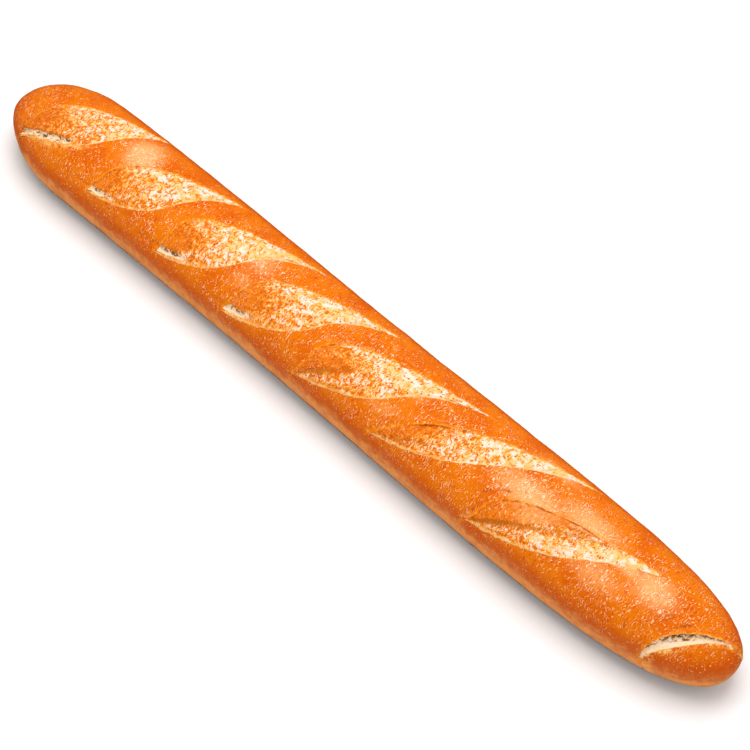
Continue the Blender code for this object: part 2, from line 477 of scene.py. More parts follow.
def outline_crossing(line, inner, outer, sizes):
    """The y between a point inside the outline and one outside it at which the plan curve leaves it."""
    for _ in range(HALVINGS):
        middle = (inner + outer) / 2
        if is_inside(line(middle), middle, sizes):
            inner = middle
        else:
            outer = middle
    return inner


def ring_points(line, sizes):
    """The ring's points: over the top from the near side to the far side, and back below."""
    y = np.linspace(-sizes.width, sizes.width, WIDTH_SAMPLES)
    inside = y[is_inside(line(y), y, sizes)]
    step = y[1] - y[0]
    near = outline_crossing(line, inside[0], inside[0] - step, sizes)
    far = outline_crossing(line, inside[-1], inside[-1] + step, sizes)
    turn = np.concatenate([np.arange(TOP_SIDES) / TOP_SIDES, 1.0 - np.arange(BELLY_SIDES) / BELLY_SIDES])
    y = (near + far) / 2 - (far - near) / 2 * np.cos(np.pi * turn)
    x = line(y)
    on_top = np.arange(SIDES) < TOP_SIDES
    z = np.where(on_top, top_height(x, y, sizes), belly_height(x, y, sizes))
    return np.stack([x, y, z], axis=1)


def get_vectors(vertices, key):
    values = np.empty(len(vertices) * 3, np.float32)
    vertices.foreach_get(key, values)
    return values.reshape(-1, 3).astype(float)


def lay_rings(loaf, sizes):
    """Moves the sphere's vertices onto the loaf's smooth form."""
    lines, heel_pole, nose_pole = ring_lines(sizes)
    rings = [[heel_pole] * SIDES] + [ring_points(line, sizes) for line in lines] + [[nose_pole] * SIDES]
    x, y, z = get_vectors(loaf.data.vertices, "co").T
    ring = np.rint(np.arccos(np.clip(-z, -1.0, 1.0)) / np.pi * (len(rings) - 1)).astype(int)
    side = np.rint(np.arctan2(y, x) / (2 * np.pi) * SIDES).astype(int) % SIDES
    loaf.data.vertices.foreach_set("co", np.array(rings)[ring, side].ravel())
    loaf.data.update()
    bpy.ops.object.mode_set(mode="EDIT")
    bpy.ops.mesh.select_all(action="SELECT")
    bpy.ops.mesh.normals_make_consistent(inside=False)
    bpy.ops.object.mode_set(mode="OBJECT")


# The relief.

MARKS = ("along", "across", "skin", "hollow", "crease", "foot", "flaky")


class Relief(NamedTuple):
    """Unevenness of one part of the surface: its kind of texture, and its features' size and depth."""

    name: str
    texture: str
    size: float
    depth: float
    part: str


RELIEFS = (
    Relief("undulation", "CLOUDS", 18 * MM, 0.9 * MM, "crust"),
    Relief("blisters", "CLOUDS", 2.2 * MM, 0.28 * MM, "crust"),
    Relief("torn_crumb", "CLOUDS", 3.2 * MM, 1.1 * MM, "crumb"),
    Relief("crumb_holes", "VORONOI", 2.6 * MM, 1.4 * MM, "pocket"),
)


def noise_at(points, size, seed):
    """Smooth noise from -1 to 1 whose features are about this big."""
    shift = Vector((seed * 7.3, seed * 3.1, seed * 5.7))
    return np.array([noise.noise(Vector(point) / size + shift) for point in points])


class Opening(NamedTuple):
    """Where each vertex lies in relation to one slash.

    u runs from 0 at its near tip to 1 at its far tip, and v from -1 at its upper lip to 1 at its lower
    rim. Distances are in metres and positive inside it. The lean is the direction across the upper lip.
    """

    u: np.ndarray
    v: np.ndarray
    from_lip: np.ndarray
    from_rim: np.ndarray
    inside: np.ndarray
    lean: np.ndarray
    ragged: np.ndarray
    uneven: np.ndarray


def edge_line(slash, side):
    """The plan curve x(y) of the slash's upper lip (side -1) or of its lower rim (side 1)."""

    def curve(y):
        upper, lower = swings(slash, y)
        return middle_line(slash, y) + (lower if side > 0 else -upper)

    return curve


def distance_past(line, x, y):
    """Distance in plan from the curve to a point, positive to its +X side, and the curve's slope."""
    slope = (line(y + SLOPE_STEP) - line(y - SLOPE_STEP)) / (2 * SLOPE_STEP)
    return (x - line(y)) / np.hypot(1.0, slope), slope


def opening_of(slash, x, y, z, ragged, uneven, sizes):
    """The opening of one slash. It closes over the wall, and noise makes its edges ragged."""
    u = along(slash, y)
    offset = x - middle_line(slash, y)
    upper, lower = half_openings(slash, y, sizes)
    v = np.clip(np.where(offset < 0, offset / upper, offset / lower), -1.5, 1.5)
    past_tips = np.maximum(np.maximum(slash.near[1] - y, y - slash.far[1]), 0.0)
    past_lip, slope = distance_past(edge_line(slash, -1), x, y)
    past_rim, _ = distance_past(edge_line(slash, 1), x, y)
    from_lip = past_lip + 0.7 * MM * ragged
    from_rim = 0.4 * MM * ragged - past_rim
    down_the_wall = 0.15 * np.maximum(24 * MM - z, 0.0) + 3.0 * np.maximum(14 * MM - z, 0.0)
    inside = np.minimum(from_lip, from_rim) - past_tips - down_the_wall
    steep = np.hypot(1.0, slope)
    lean = np.stack([1.0 / steep, -slope / steep])
    return Opening(u, v, from_lip, from_rim, inside, lean, ragged, uneven)


def lip_strength(slash, opening):
    """1 along the middle of the upper lip, fading towards both tips."""
    fading = ramp((opening.u - 0.12) / 0.2) * ramp((slash.lip_end - opening.u) / 0.3)
    return slash.lip * fading * np.clip(0.9 + 1.0 * opening.uneven, 0.4, 1.3)


def lip_push(slash, opening, over_belly, sizes):
    """Sideways push that leans the upper lip over the crumb."""
    lip = lip_strength(slash, opening) * (opening.v < 0)
    near_lip = bell(opening.from_lip / (1.3 * MM)) * (opening.from_lip < 0.3 * MM)
    return lip * sizes.lip_lean * over_belly * near_lip * opening.lean


def from_slot(opening):
    """Distance across the slash from the middle of the slot beside its lower rim."""
    return opening.from_rim - 3.0 * MM - 0.9 * MM * opening.uneven - 0.7 * MM * opening.ragged


def slot_length(slash, opening):
    """1 from the near tip to the end of the slot, and 0 in a slash without a pocket."""
    return ramp(opening.u / 0.02) * ramp((slash.pocket_end - opening.u) / 0.08) * (slash.pocket > 0)


def slot_strength(slash, opening):
    """1 in the slot that runs along the lower rim from the near tip."""
    depth = np.clip(0.85 + 0.9 * opening.ragged, 0.3, 1.3)
    return bell(from_slot(opening) / (1.8 * MM)) * depth * slot_length(slash, opening)


def slot_shade(slash, opening):
    """1 in the shade above the slot, where browned skin hangs over it."""
    shade = bell((from_slot(opening) - 3.2 * MM) / (1.3 * MM))
    return shade * slot_length(slash, opening) * (opening.inside > 0)


def past_tongue(slash, opening):
    """How far across the slash a point lies past the tongue's edge, and the tongue's strength there."""
    start, turn = slash.tongue_line
    beyond = opening.v - start - turn * opening.u
    strength = slash.tongue * ramp(opening.u / 0.06) * ramp((slash.tongue_end - opening.u) / 0.25)
    return beyond, strength


def slash_rise(slash, opening, sizes):
    """Height of the slash's features over the smooth form."""
    u, v = opening.u, opening.v
    within = ramp(opening.from_lip / (0.6 * MM)) * ramp(opening.from_rim / (1.0 * MM))
    sunk = sizes.step * ramp((0.7 - v) / 1.2) * ramp((0.85 - u) / 0.3)
    lip = lip_strength(slash, opening)
    raised = lip * sizes.lip_rise * bell(np.minimum(opening.from_lip, 0.0) / sizes.lip_reach) * (v < 0)
    raised += sizes.rim_rise * bell(np.minimum(opening.from_rim, 0.0) / sizes.lip_reach) * (v > 0)
    crease = lip * sizes.crease * bell((opening.from_lip - 0.4 * MM) / (0.4 * MM)) * (v < 0)
    swell = slash.swell * MM * np.maximum(1.0 - v * v, 0.0) * bell((u - 0.5) / 0.4)
    pocket = slash.pocket * MM * slot_strength(slash, opening)
    beyond, strength = past_tongue(slash, opening)
    tongue = strength * MM * ramp((0.08 - beyond) / 0.2)
    rise = (1.0 - within) * raised + within * (swell + tongue - sunk) - crease - pocket
    return rise * ramp(u / 0.05) * ramp((1.0 - u) / 0.2)


def browning(slash, opening):
    """How browned the skin on the crumb is, and the strength of the shaded line under a tongue."""
    u, v = opening.u, opening.v
    beyond, strength = past_tongue(slash, opening)
    strength = np.minimum(strength, 1.0)
    near_skin = ramp((slash.skin_end + 0.12 - u - 0.15 * v) / 0.25) * ramp((0.55 - v) / 0.5)
    skin = slash.flecks - 0.25 * ramp((u - 0.45) / 0.2) - 0.10 * ramp((v + 0.2) / 0.6)
    skin = skin - 0.1 * ramp((u - 0.7) / 0.2)
    skin = skin + (1.0 - skin) * near_skin * ramp((0.25 - beyond) / 0.2 + (slash.tongue == 0))
    skin = skin + 0.2 * ramp((0.3 - u) / 0.15) * ramp((v - 0.3) / 0.4)
    on_tongue = strength * ramp((0.05 - beyond) / 0.1)
    fading = bell(np.maximum(beyond - 0.08, 0.0) / (0.24 - 0.14 * np.clip(u, 0.0, 1.0)))
    foot = strength * ramp((beyond + 0.02) / 0.08) * fading * (opening.inside > 0)
    return np.maximum(skin, 0.95 * on_tongue), foot


def painted_sheen_at(x, y):
    """Strength of the painted sheen, patches of paler crust that stand in for highlights, at each point.
    """
    strength = np.zeros(len(x))
    for spot in SHEEN_SPOTS:
        away = np.hypot((x - spot.x) / spot.along, (y - spot.y) / spot.across)
        strength = np.maximum(strength, spot.strength * bell(away / 1.2))
    return strength


def wrinkled(x, y):
    """Strength of the short wrinkles of the crust at each point."""
    strength = np.zeros(len(x))
    for wrinkle in WRINKLES:
        along_x = x - wrinkle.x
        away = y - wrinkle.y - wrinkle.slope * along_x + WRINKLE_BEND * along_x**2
        away = away / np.hypot(1.0, wrinkle.slope)
        middle = wrinkle.strength * bell(along_x / wrinkle.reach)
        strength = np.maximum(strength, middle * bell(away / WRINKLE_WIDTH))
    return strength


def set_attribute(mesh, name, values):
    mesh.attributes.new(name, "FLOAT", "POINT").data.foreach_set("value", values.astype(np.float32))


def flaky_rim(slash, opening):
    """Strength of the golden flakes along the lower rim: near its tip, or all along a sunken slash."""
    u = opening.u
    near_tip = ramp((opening.from_rim + 3.5 * MM) / (2.5 * MM)) * ramp((0.36 - u) / 0.15) * ramp(u / 0.02)
    all_along = ramp((opening.from_rim + 2.4 * MM) / (1.8 * MM)) * ramp(u / 0.1) * slash.is_sunken
    return np.maximum(slash.flaky * near_tip, 1.5 * all_along) * (opening.v > 0.3)


def mark_slash(marks, slash, opening, nearer, inside):
    """Adds one slash to the marks: its own place where it is the nearest one, and its features."""
    lip = lip_strength(slash, opening) * (opening.v < 0)
    skin, foot = browning(slash, opening)
    own = {"along": np.clip(opening.u, 0.0, 1.0), "across": opening.v, "skin": skin}
    for name, values in own.items():
        marks[name] = np.where(nearer, values, marks[name])
    sunken = 0.8 * ramp(opening.inside / MM) * slash.is_sunken
    features = {
        "hollow": slot_strength(slash, opening) * (inside > 0) + sunken,
        # Painted shade: the crease under the upper lip.
        "crease": lip * bell((opening.from_lip - 0.4 * MM) / (0.75 * MM)),
        "foot": np.maximum(foot, slot_shade(slash, opening)),
        "flaky": flaky_rim(slash, opening),
    }
    for name, values in features.items():
        marks[name] = np.maximum(marks[name], values)


def press_slashes(loaf, sizes):
    """Presses the slashes into the smooth form, and stores what the crust's material needs to know.

    The values are the share of crumb, the depth of the pockets, and a share that is 0 on the table and
    1 from the loaf's widest height up.
    """
    mesh = loaf.data
    points = get_vectors(mesh.vertices, "co")
    normals = get_vectors(mesh.vertices, "normal")
    x, y, z = points.T
    over_belly = ramp(z / sizes.widest)
    ragged = noise_at(points, RAGGED_SIZE, 1)
    uneven = noise_at(points, UNEVEN_SIZE, 2)

    rise = np.zeros(len(points))
    lean = np.zeros((2, len(points)))
    inside = np.full(len(points), -1.0)
    marks = {name: np.zeros(len(points)) for name in MARKS}
    for slash in SLASHES:
        opening = opening_of(slash, x, y, z, ragged, uneven, sizes)
        rise += slash_rise(slash, opening, sizes)
        lean += lip_push(slash, opening, over_belly, sizes)
        nearer = opening.inside > inside
        inside = np.maximum(inside, opening.inside)
        mark_slash(marks, slash, opening, nearer, inside)
    wrinkles = wrinkled(x, y)
    # The wrinkles' strength also paints their shade.
    marks["crease"] = np.maximum(marks["crease"], 0.7 * wrinkles)
    rise -= WRINKLE_DEPTH * wrinkles

    # x, y and z look into points, so they move with it.
    points += normals * (rise * over_belly)[:, None]
    points[:, :2] += lean.T
    mesh.vertices.foreach_set("co", points.ravel())
    mesh.update()
    set_attribute(mesh, "inside", inside)
    # Painted highlight: how strongly each point shows the sheen patches.
    set_attribute(mesh, "thin", painted_sheen_at(x, y))
    for name, values in marks.items():
        set_attribute(mesh, name, values * over_belly)
    return ramp(inside / (1.0 * MM)), marks["hollow"], over_belly


def add_group(loaf, name, weights):
    """A vertex group with these weights, in a few even steps."""
    group = loaf.vertex_groups.new(name=name)
    steps = np.rint(np.clip(weights, 0.0, 1.0) * GROUP_STEPS).astype(int)
    for step in range(1, GROUP_STEPS + 1):
        members = np.flatnonzero(steps == step)
        if len(members):
            group.add(members.tolist(), step / GROUP_STEPS, "REPLACE")


def displace(loaf, relief):
    """Sinks one part of the surface by up to the relief's depth where its texture is dark."""
    texture = bpy.data.textures.new(relief.name, relief.texture)
    texture.noise_scale = relief.size
    modifier = loaf.modifiers.new(relief.name, "DISPLACE")
    modifier.texture = texture
    modifier.texture_coords = "LOCAL"
    modifier.strength = relief.depth
    modifier.mid_level = 1.0
    modifier.vertex_group = relief.part
    bpy.ops.object.modifier_apply(modifier=relief.name)


def make_loaf(sizes, colours):
    """The whole loaf, from a sphere with as many rings as the plan has curves."""
    bpy.ops.object.select_all(action="DESELECT")
    lines = HEEL_RINGS + NOSE_RINGS + SLASH_RINGS * len(SLASHES)
    lines += BRIDGE_RINGS * (len(SLASHES) - 2) + LAST_BRIDGE_RINGS
    bpy.ops.mesh.primitive_uv_sphere_add(segments=SIDES, ring_count=lines + 1, radius=1.0)
    loaf = bpy.context.object
    loaf.name = "baked_loaf"
    lay_rings(loaf, sizes)
    crumb, pocket, over_belly = press_slashes(loaf, sizes)
    add_group(loaf, "crust", (1.0 - crumb) * over_belly)
    add_group(loaf, "crumb", crumb * over_belly)
    add_group(loaf, "pocket", crumb * pocket)
    for relief in RELIEFS:
        displace(loaf, relief)
    loaf.vertex_groups.clear()
    bpy.ops.object.shade_smooth()
    loaf.data.materials.append(crust_material(colours))
    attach(loaf, "root")
    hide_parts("loaf")


# The materials.


class Nodes:
    """Adds nodes to one material's tree. Values are numbers, colours or other nodes' sockets."""

    def __init__(self, material):
        material.use_nodes = True
        self.tree = material.node_tree
        self.shader = self.tree.nodes["Principled BSDF"].inputs

    def add(self, kind, sockets, **settings):
        node = self.tree.nodes.new(kind)
        for key, value in settings.items():
            setattr(node, key, value)
        for key, value in sockets.items():
            self.put(value, node.inputs[key])
        return node

    def put(self, value, socket):
        if isinstance(value, bpy.types.NodeSocket):
            self.tree.links.new(value, socket)
        else:
            socket.default_value = (*value, 1.0) if socket.type == "RGBA" else value

    def attribute(self, name):
        return self.add("ShaderNodeAttribute", {}, attribute_name=name).outputs["Fac"]

    def position(self):
        return self.add("ShaderNodeTexCoord", {}).outputs["Object"]

    def noise(self, vector, size, detail=3.0, roughness=0.5, distortion=0.0):
        """Noise from 0 to 1 whose features are about this big, in metres."""
        sockets = {"Vector": vector, "Scale": 1.0 / size, "Detail": detail}
        sockets |= {"Roughness": roughness, "Distortion": distortion}
        return self.add("ShaderNodeTexNoise", sockets).outputs["Fac"]

    def cells(self, vector, size, feature="F1"):
        """Distance to the nearest cell's point, or to its border, in cell sizes."""
        sockets = {"Vector": vector, "Scale": 1.0 / size}
        return self.add("ShaderNodeTexVoronoi", sockets, feature=feature).outputs["Distance"]

    def web(self, vector, size):
        """Distance to the borders of wavy cells of this size, in cell sizes."""
        return self.cells(self.warp(vector, size, 0.9 * size), size, feature="DISTANCE_TO_EDGE")

    def warp(self, vector, size, reach):
        """The position, pushed about by noise so that lines wander."""
        sockets = {"Vector": vector, "Scale": 1.0 / size, "Detail": 2.0}
        wander = self.add("ShaderNodeTexNoise", sockets).outputs["Color"]
        centred = self.add("ShaderNodeVectorMath", {0: wander, 1: (0.5, 0.5, 0.5)}, operation="SUBTRACT")
        sockets = {0: centred.outputs[0], "Scale": reach}
        pushed = self.add("ShaderNodeVectorMath", sockets, operation="SCALE")
        return self.add("ShaderNodeVectorMath", {0: vector, 1: pushed.outputs[0]}).outputs[0]

    def step(self, value, start, end):
        """0 at start, 1 at end, smooth between. The start may be the higher of the two."""
        sockets = {"Value": value, "From Min": start, "From Max": end}
        return self.add("ShaderNodeMapRange", sockets, interpolation_type="SMOOTHSTEP").outputs["Result"]

    def math(self, operation, first, second):
        return self.add("ShaderNodeMath", {0: first, 1: second}, operation=operation).outputs[0]

    def times(self, first, second):
        return self.math("MULTIPLY", first, second)

    def plus(self, first, second):
        return self.math("ADD", first, second)

    def absolute(self, value):
        return self.add("ShaderNodeMath", {0: value}, operation="ABSOLUTE").outputs[0]

    def mix(self, factor, first, second):
        """A colour between two colours."""
        sockets = {"Factor": factor, 6: first, 7: second}
        return self.add("ShaderNodeMix", sockets, data_type="RGBA").outputs[2]

    def waves(self, vector, period, bend):
        """Wavy stripes from 0 to 1, this far apart, that turn over this distance."""
        scale = WAVE_PERIOD / period
        sockets = {"Vector": vector, "Scale": scale, "Distortion": 10.0}
        sockets |= {"Detail": 1.0, "Detail Scale": 1.0 / (bend * scale)}
        return self.add("ShaderNodeTexWave", sockets).outputs["Fac"]

    def curls(self, vector, size, folds):
        """Curly stripes from 0 to 1: contour lines of noise of this size, this many over its range."""
        value = self.noise(vector, size, detail=1.0, distortion=0.9)
        return self.math("PINGPONG", self.times(value, folds), 1.0)

    def bump(self, height, distance, strength):
        sockets = {"Height": height, "Distance": distance, "Strength": strength}
        return self.add("ShaderNodeBump", sockets).outputs["Normal"]


# Sockets that the crust's colours are made from. Levels are heights in metres.
CrustPatterns = namedtuple("CrustPatterns", "place y z patches mottle waves thin wall_level level on_top")


def crust_patterns(nodes, place):
    """The patterns. Darker shoulders, partly painted shade, reach higher on the far side, a little at
    both ends.
    """
    axes = nodes.add("ShaderNodeSeparateXYZ", {"Vector": place}).outputs
    patches = nodes.noise(place, 20 * MM)
    mottle = nodes.noise(place, 4.0 * MM, detail=4.0, roughness=0.65)
    wall_level = nodes.plus(axes["Z"], nodes.times(nodes.plus(patches, -0.5), 10 * MM))
    # Painted shade: the far side gets more of the darker colour.
    far = nodes.times(nodes.step(axes["Y"], 18 * MM, 30 * MM), -9 * MM)
    ends = nodes.times(nodes.step(nodes.absolute(axes["X"]), 238 * MM, 286 * MM), -3.5 * MM)
    lowered = nodes.plus(wall_level, far)
    # Painted sheen: the sheen patches, broken up by the mottle.
    thin = nodes.plus(nodes.attribute("thin"), nodes.times(nodes.plus(mottle, -0.5), 0.8))
    return CrustPatterns(
        place=place,
        y=axes["Y"],
        z=axes["Z"],
        patches=patches,
        mottle=mottle,
        waves=nodes.waves(place, 1.6 * MM, 2.6 * MM),
        thin=nodes.step(thin, 0.1, 0.9),
        wall_level=wall_level,
        level=nodes.plus(lowered, ends),
        on_top=nodes.step(lowered, 14 * MM, 26 * MM),
    )


def baked_top(nodes, patterns, colours):
    """Crust on top: deeper patches, darker shoulders partly of painted shade, painted sheen, dark specks.
    """
    deeper = nodes.step(patterns.patches, 0.42, 0.66)
    tone = nodes.mix(deeper, colours.crown, colours.crown_deep)
    # Partly the crust's own darker baking, partly painted shade where the top turns down to the sides.
    tone = nodes.mix(nodes.step(patterns.level, 36 * MM, 25 * MM), tone, colours.shoulder_and_shade)
    # Painted highlight: paler crust in the sheen patches.
    tone = nodes.mix(nodes.times(patterns.thin, 0.9), tone, colours.thin)
    return nodes.mix(nodes.times(nodes.step(patterns.mottle, 0.5, 0.7), 0.6), tone, colours.speck)


def draw_strokes(nodes, tone, patterns, colours):
    """Fine pale strokes in broken groups, the palest of them painted glints, with dark ones between them.
    """
    place, waves, thin = patterns.place, patterns.waves, patterns.thin
    # Painted sheen: strokes crowd and turn paler in the sheen patches, and the dark ones between them
    # fade.
    broken = nodes.plus(nodes.noise(place, 2.0 * MM, detail=2.0), nodes.times(thin, 0.12))
    dense = nodes.times(nodes.plus(nodes.noise(place, 9 * MM, detail=1.0), -0.5), 0.35)
    broken = nodes.plus(broken, dense)

    valleys = nodes.times(nodes.step(waves, 0.40, 0.05), nodes.step(broken, 0.42, 0.56))
    valleys = nodes.times(valleys, nodes.plus(nodes.times(thin, -0.45), 0.55))
    tone = nodes.mix(nodes.times(valleys, patterns.on_top), tone, colours.speck)

    strokes = nodes.times(nodes.step(waves, 0.55, 0.95), nodes.step(broken, 0.44, 0.56))
    strokes = nodes.times(strokes, patterns.on_top)
    # The strokes show less low down and fade out towards the far side; the palest of them are painted
    # glints.
    shown = nodes.plus(nodes.times(nodes.step(patterns.level, 24 * MM, 46 * MM), 0.5), 0.30)
    shown = nodes.times(shown, nodes.step(patterns.y, 32 * MM, 4 * MM))
    pale = nodes.mix(nodes.step(broken, 0.55, 0.70), colours.vein, colours.painted_glint)
    return nodes.mix(nodes.times(strokes, shown), tone, pale)


def lay_wall(nodes, tone, dots, patterns, colours):
    """The paler wall low on the side, with browner patches, scuffs and flour."""
    mottle, wall_level = patterns.mottle, patterns.wall_level
    low = nodes.plus(wall_level, nodes.times(nodes.plus(mottle, -0.5), 12 * MM))
    tone = nodes.mix(nodes.times(nodes.step(low, 31 * MM, 22 * MM), 0.6), tone, colours.wall_deep)
    tone = nodes.mix(nodes.step(low, 25 * MM, 15 * MM), tone, colours.wall)
    floury = nodes.times(nodes.step(mottle, 0.54, 0.42), nodes.step(wall_level, 28 * MM, 18 * MM))
    tone = nodes.mix(nodes.times(floury, 0.35), tone, colours.vein)
    scuffs = nodes.step(nodes.noise(patterns.place, 9 * MM, detail=4.0, roughness=0.6), 0.46, 0.66)
    scuffs = nodes.times(scuffs, nodes.step(wall_level, 24 * MM, 16 * MM))
    tone = nodes.mix(nodes.times(scuffs, 0.5), tone, colours.wall_deep)
    flour = nodes.times(dots, nodes.step(wall_level, 28 * MM, 22 * MM))
    return nodes.mix(nodes.times(flour, 0.5), tone, colours.crumb_warm)


def crust_colour(nodes, patterns, colours):
    """Baked crust: top with strokes and painted glints, wall, and a dark belly with painted edge shadow.
    """
    tone = draw_strokes(nodes, baked_top(nodes, patterns, colours), patterns, colours)
    # Painted highlight: pale dots of glints on the top; low on the wall the same dots are flour.
    dots = nodes.step(nodes.cells(patterns.place, 2.3 * MM), 0.17, 0.08)
    dots = nodes.times(dots, nodes.step(patterns.mottle, 0.56, 0.48))
    tone = nodes.mix(nodes.times(dots, patterns.on_top), tone, colours.painted_glint)
    tone = lay_wall(nodes, tone, dots, patterns, colours)
    # Darker from 11 mm down: the baked underside, and a painted shadow line along the bottom edge.
    return nodes.mix(nodes.step(patterns.z, 11 * MM, 7 * MM), tone, colours.belly)


# Sockets that the crumb's colours are made from.
CrumbPatterns = namedtuple("CrumbPatterns", "grain curls strands dark_fibres pale_fibres skin")


def crumb_patterns(nodes, place):
    strands = nodes.step(nodes.web(place, 3.2 * MM), 0.15, 0.04)
    strands = nodes.times(strands, nodes.step(nodes.noise(place, 3.0 * MM, detail=1.0), 0.36, 0.50))
    fibres = nodes.waves(nodes.warp(place, 9 * MM, 6 * MM), 2.0 * MM, 3.2 * MM)
    tufts = nodes.noise(place, 3.0 * MM, detail=2.0)
    return CrumbPatterns(
        grain=nodes.noise(place, 3.8 * MM, roughness=0.55, distortion=1.2),
        curls=nodes.curls(place, 5 * MM, 10.0),
        strands=strands,
        dark_fibres=nodes.times(nodes.step(fibres, 0.45, 0.10), nodes.step(tufts, 0.42, 0.54)),
        pale_fibres=nodes.times(nodes.step(fibres, 0.55, 0.90), nodes.step(tufts, 0.60, 0.48)),
        skin=nodes.attribute("skin"),
    )


def browned_cover(nodes, crumb, low_edge):
    """How browned the skin on the crumb is: bare crumb under 0.38, darkest from 0.84."""
    skin = nodes.times(nodes.plus(nodes.math("MINIMUM", crumb.skin, 0.85), -0.5), 0.55)
    cover = nodes.plus(nodes.plus(nodes.times(crumb.grain, 0.8), 0.1), skin)
    shares = (
        (nodes.plus(crumb.strands, -0.10), 0.18),
        (nodes.plus(crumb.dark_fibres, -0.15), 0.13),
        (nodes.plus(crumb.curls, -0.5), 0.08),
        (crumb.pale_fibres, -0.10),
        # Painted sheen: the crumb is painted whiter in the sheen patches.
        (nodes.attribute("thin"), -0.17),
        # The foot's painted shade also browns the crumb under tongues and above slots.
        (nodes.attribute("foot"), 0.22),
        (low_edge, -0.07),
    )
    for pattern, share in shares:
        cover = nodes.plus(cover, nodes.times(pattern, share))
    return cover


def crumb_colour(nodes, place, crumb, cover, crust, colours):
    """Cream crumb under curls of browned skin, with pale fibres and small holes."""
    cloud = nodes.noise(place, 6 * MM, detail=4.0)
    tone = nodes.mix(nodes.step(cloud, 0.40, 0.54), colours.crumb, colours.crumb_warm)
    tone = nodes.mix(nodes.step(cover, 0.38, 0.52), tone, colours.golden)
    tone = nodes.mix(nodes.step(cover, 0.54, 0.66), tone, colours.fleck)
    tone = nodes.mix(nodes.times(nodes.step(cover, 0.70, 0.84), 0.6), tone, colours.fleck_deep)

    light = nodes.mix(nodes.step(crumb.skin, 0.45, 0.7), colours.crumb, colours.crumb_warm)
    shown = nodes.plus(nodes.times(nodes.step(crumb.skin, 0.9, 0.55), 0.35), 0.25)
    tone = nodes.mix(nodes.times(crumb.pale_fibres, shown), tone, light)
    tone = nodes.mix(nodes.times(nodes.step(crumb.skin, 0.82, 1.0), 0.7), tone, crust)

    holes = nodes.step(nodes.cells(place, 2.8 * MM), 0.27, 0.15)
    some = nodes.step(nodes.noise(place, 5 * MM), 0.46, 0.54)
    return nodes.mix(nodes.times(nodes.times(holes, some), 0.85), tone, colours.fleck_deep)


def open_pockets(nodes, tone, crumb, near_rim, colours):
    """Pale pockets with dark pits on their upper side, partly painted shade, and golden flakes on the rim
    beside them.
    """
    hollow = nodes.plus(nodes.attribute("hollow"), nodes.times(nodes.plus(crumb.grain, -0.5), 0.9))
    pale = nodes.mix(nodes.times(crumb.strands, 0.5), colours.pocket, colours.crumb)
    tone = nodes.mix(nodes.step(hollow, 0.2, 0.5), tone, pale)
    flaky = nodes.mix(nodes.step(crumb.curls, 0.4, 0.9), colours.halo, colours.rim)
    tone = nodes.mix(nodes.times(near_rim, 0.4), tone, flaky)
    # Painted shade: the pits darken only the upper side, under the overhang.
    upper = nodes.step(nodes.attribute("inside"), 2.2 * MM, 2.9 * MM)
    upper = nodes.math("MAXIMUM", upper, nodes.step(nodes.attribute("across"), -0.1, -0.6))
    dark = nodes.times(nodes.step(crumb.grain, 0.49, 0.57), nodes.step(hollow, 0.25, 0.5))
    return nodes.mix(nodes.times(dark, upper), tone, colours.pit)


def gild_crust(nodes, crust, edge, patterns, colours):
    """Golden crust beside the upper lips, and golden flakes along some of the lower rims."""
    beside = nodes.times(nodes.step(edge, -2.0 * MM, -0.1 * MM), nodes.step(patterns.mottle, 0.35, 0.55))
    beside = nodes.times(beside, nodes.step(nodes.attribute("across"), 1.2, -0.2))
    crust = nodes.mix(nodes.times(beside, 0.7), crust, colours.halo)
    flaky = nodes.times(nodes.attribute("flaky"), nodes.step(patterns.mottle, 0.6, 0.4))
    golden = nodes.mix(nodes.step(patterns.waves, 0.2, 0.8), colours.halo, colours.rim)
    return nodes.mix(nodes.times(flaky, 0.8), crust, golden)


def draw_edges(nodes, tone, place, edge, frayed, colours):
    """Pale lines along the slashes' edges, partly painted highlight, and painted shade under tongues and
    lips.
    """
    across = nodes.attribute("across")
    away = nodes.absolute(nodes.plus(edge, -0.1 * MM))
    # Along each lower rim: the edge's own paler colour, and a painted highlight where it catches the
    # light.
    low_line = nodes.times(nodes.step(across, 0.3, 0.7), nodes.step(frayed, -0.2, 0.0))
    low_line = nodes.times(nodes.step(away, 0.35 * MM, 0.12 * MM), low_line)
    tone = nodes.mix(nodes.times(low_line, 0.75), tone, colours.rim)
    high_line = nodes.times(nodes.step(across, -0.3, -0.7), nodes.step(frayed, -0.1, 0.1))
    high_line = nodes.times(nodes.step(away, 0.5 * MM, 0.2 * MM), high_line)
    high_line = nodes.times(high_line, nodes.step(nodes.attribute("skin"), 0.85, 0.55))
    tone = nodes.mix(nodes.times(high_line, 0.7), tone, colours.crumb_warm)

    foot = nodes.step(nodes.plus(nodes.attribute("foot"), nodes.times(frayed, 2.4)), 0.4, 1.1)
    tone = nodes.mix(nodes.times(foot, 0.55), tone, colours.foot)
    # Painted shade: a dark, broken line in the creases under the lips and in the wrinkles.
    broken = nodes.plus(nodes.times(nodes.noise(place, 3.5 * MM), 2.0), -0.2)
    crease = nodes.step(nodes.times(nodes.attribute("crease"), broken), 0.25, 0.9)
    return nodes.mix(crease, tone, colours.crease)


